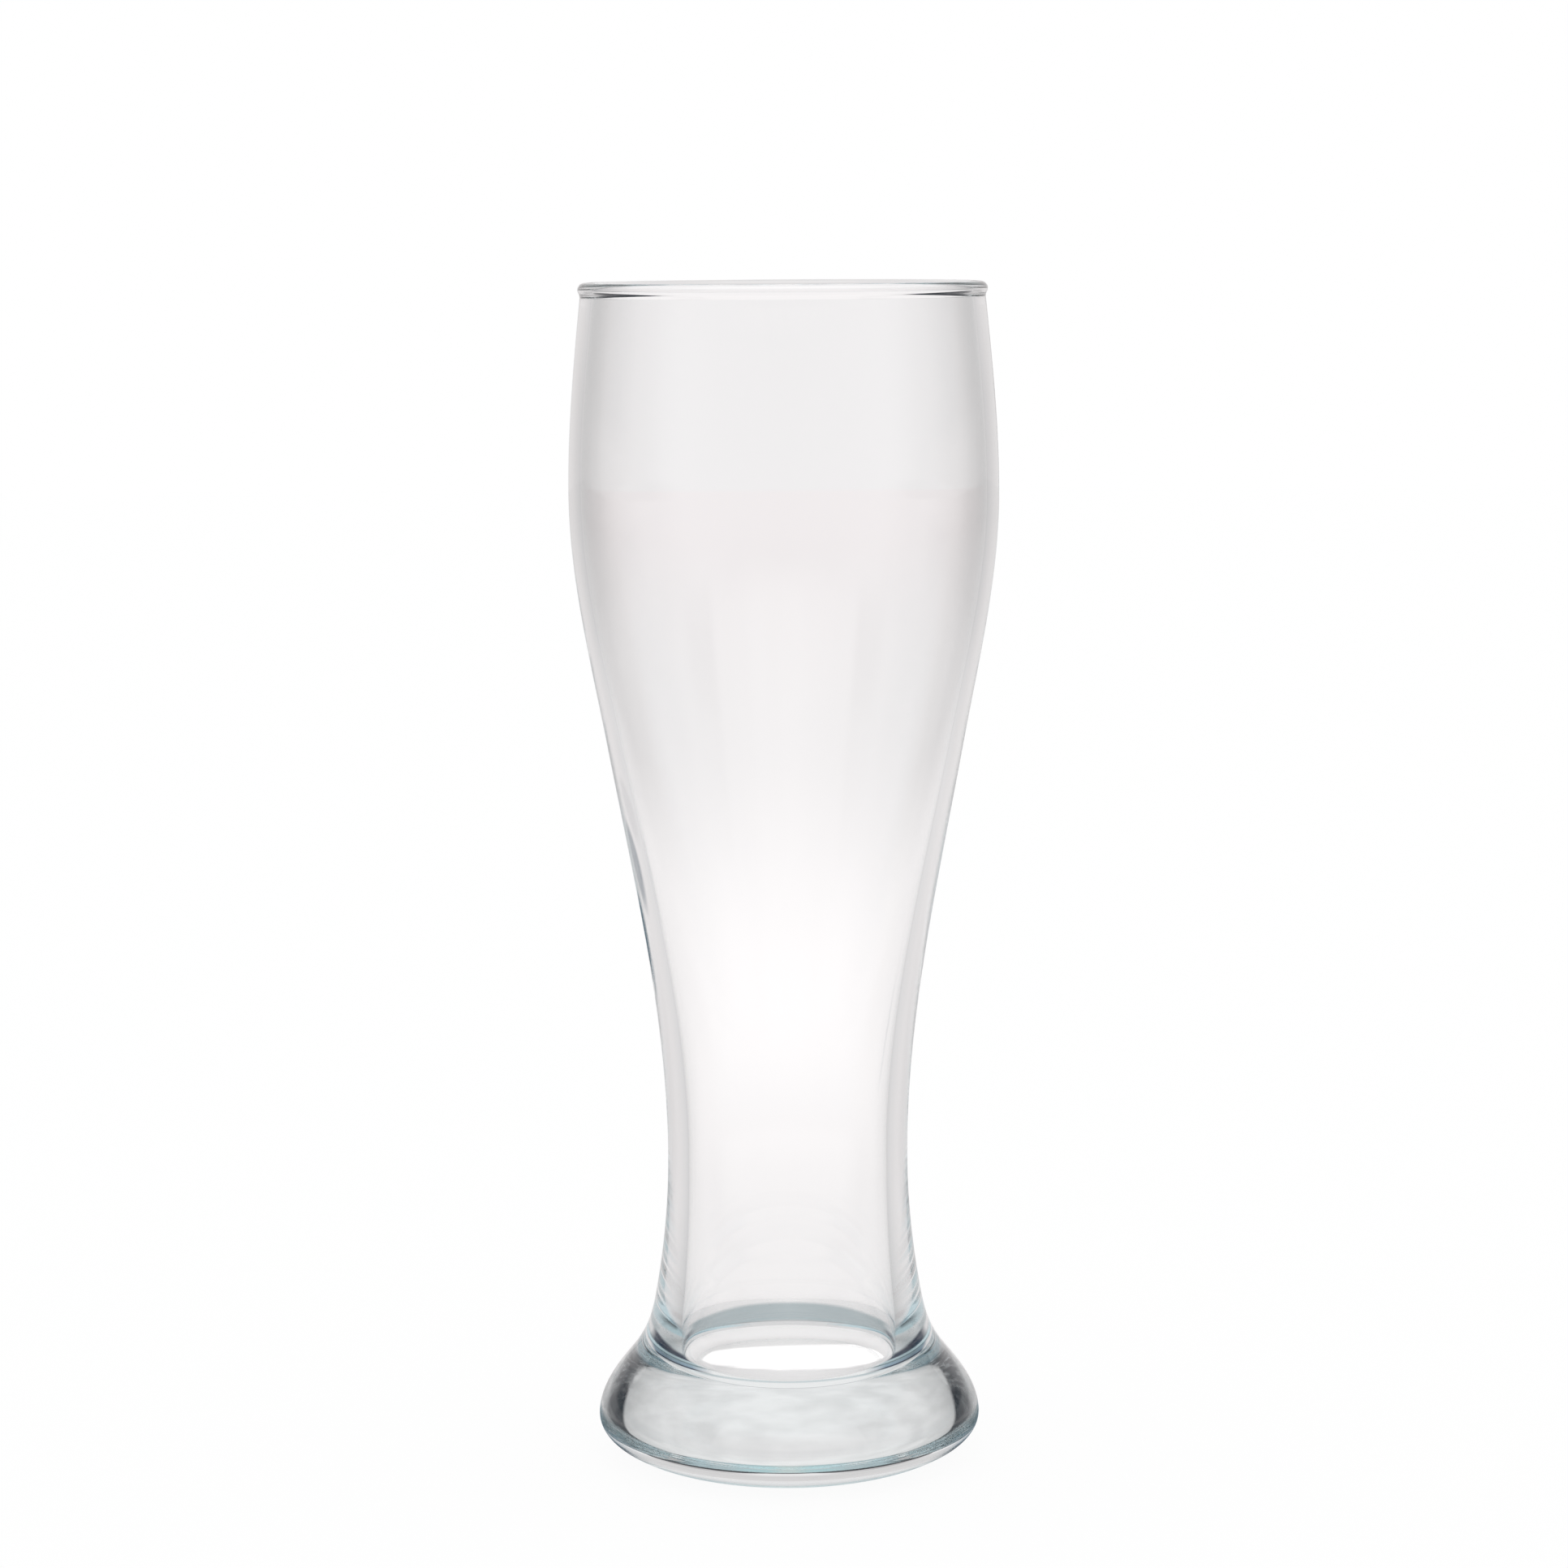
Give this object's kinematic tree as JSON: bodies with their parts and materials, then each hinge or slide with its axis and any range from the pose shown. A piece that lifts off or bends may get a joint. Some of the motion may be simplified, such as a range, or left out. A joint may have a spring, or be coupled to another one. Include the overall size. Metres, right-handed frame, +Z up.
{
  "type": "weizen glass",
  "caption": "Tall clear wheat-beer glass: rounded rim, wide belly tapering to a slim waist, and a heavy solid foot with a tucked-in heel. It stands on a table and holds beer.",
  "frame": {"origin": "centre of the ring that the glass stands on, at table height", "axes": "+Z up along the axis of the glass; X and Y lie in the table's plane, and the glass is round, so either may face the viewer"},
  "size_m": [0.0812, 0.0812, 0.225],
  "materials": {
    "clear_glass": "clear, fire-polished soda-lime glass with a faint blue-green tint in its thick places"
  },
  "bodies": {
    "root": {"rim_bead": "clear_glass", "bowl": "clear_glass", "foot": "clear_glass"}
  },
  "joints": []
}
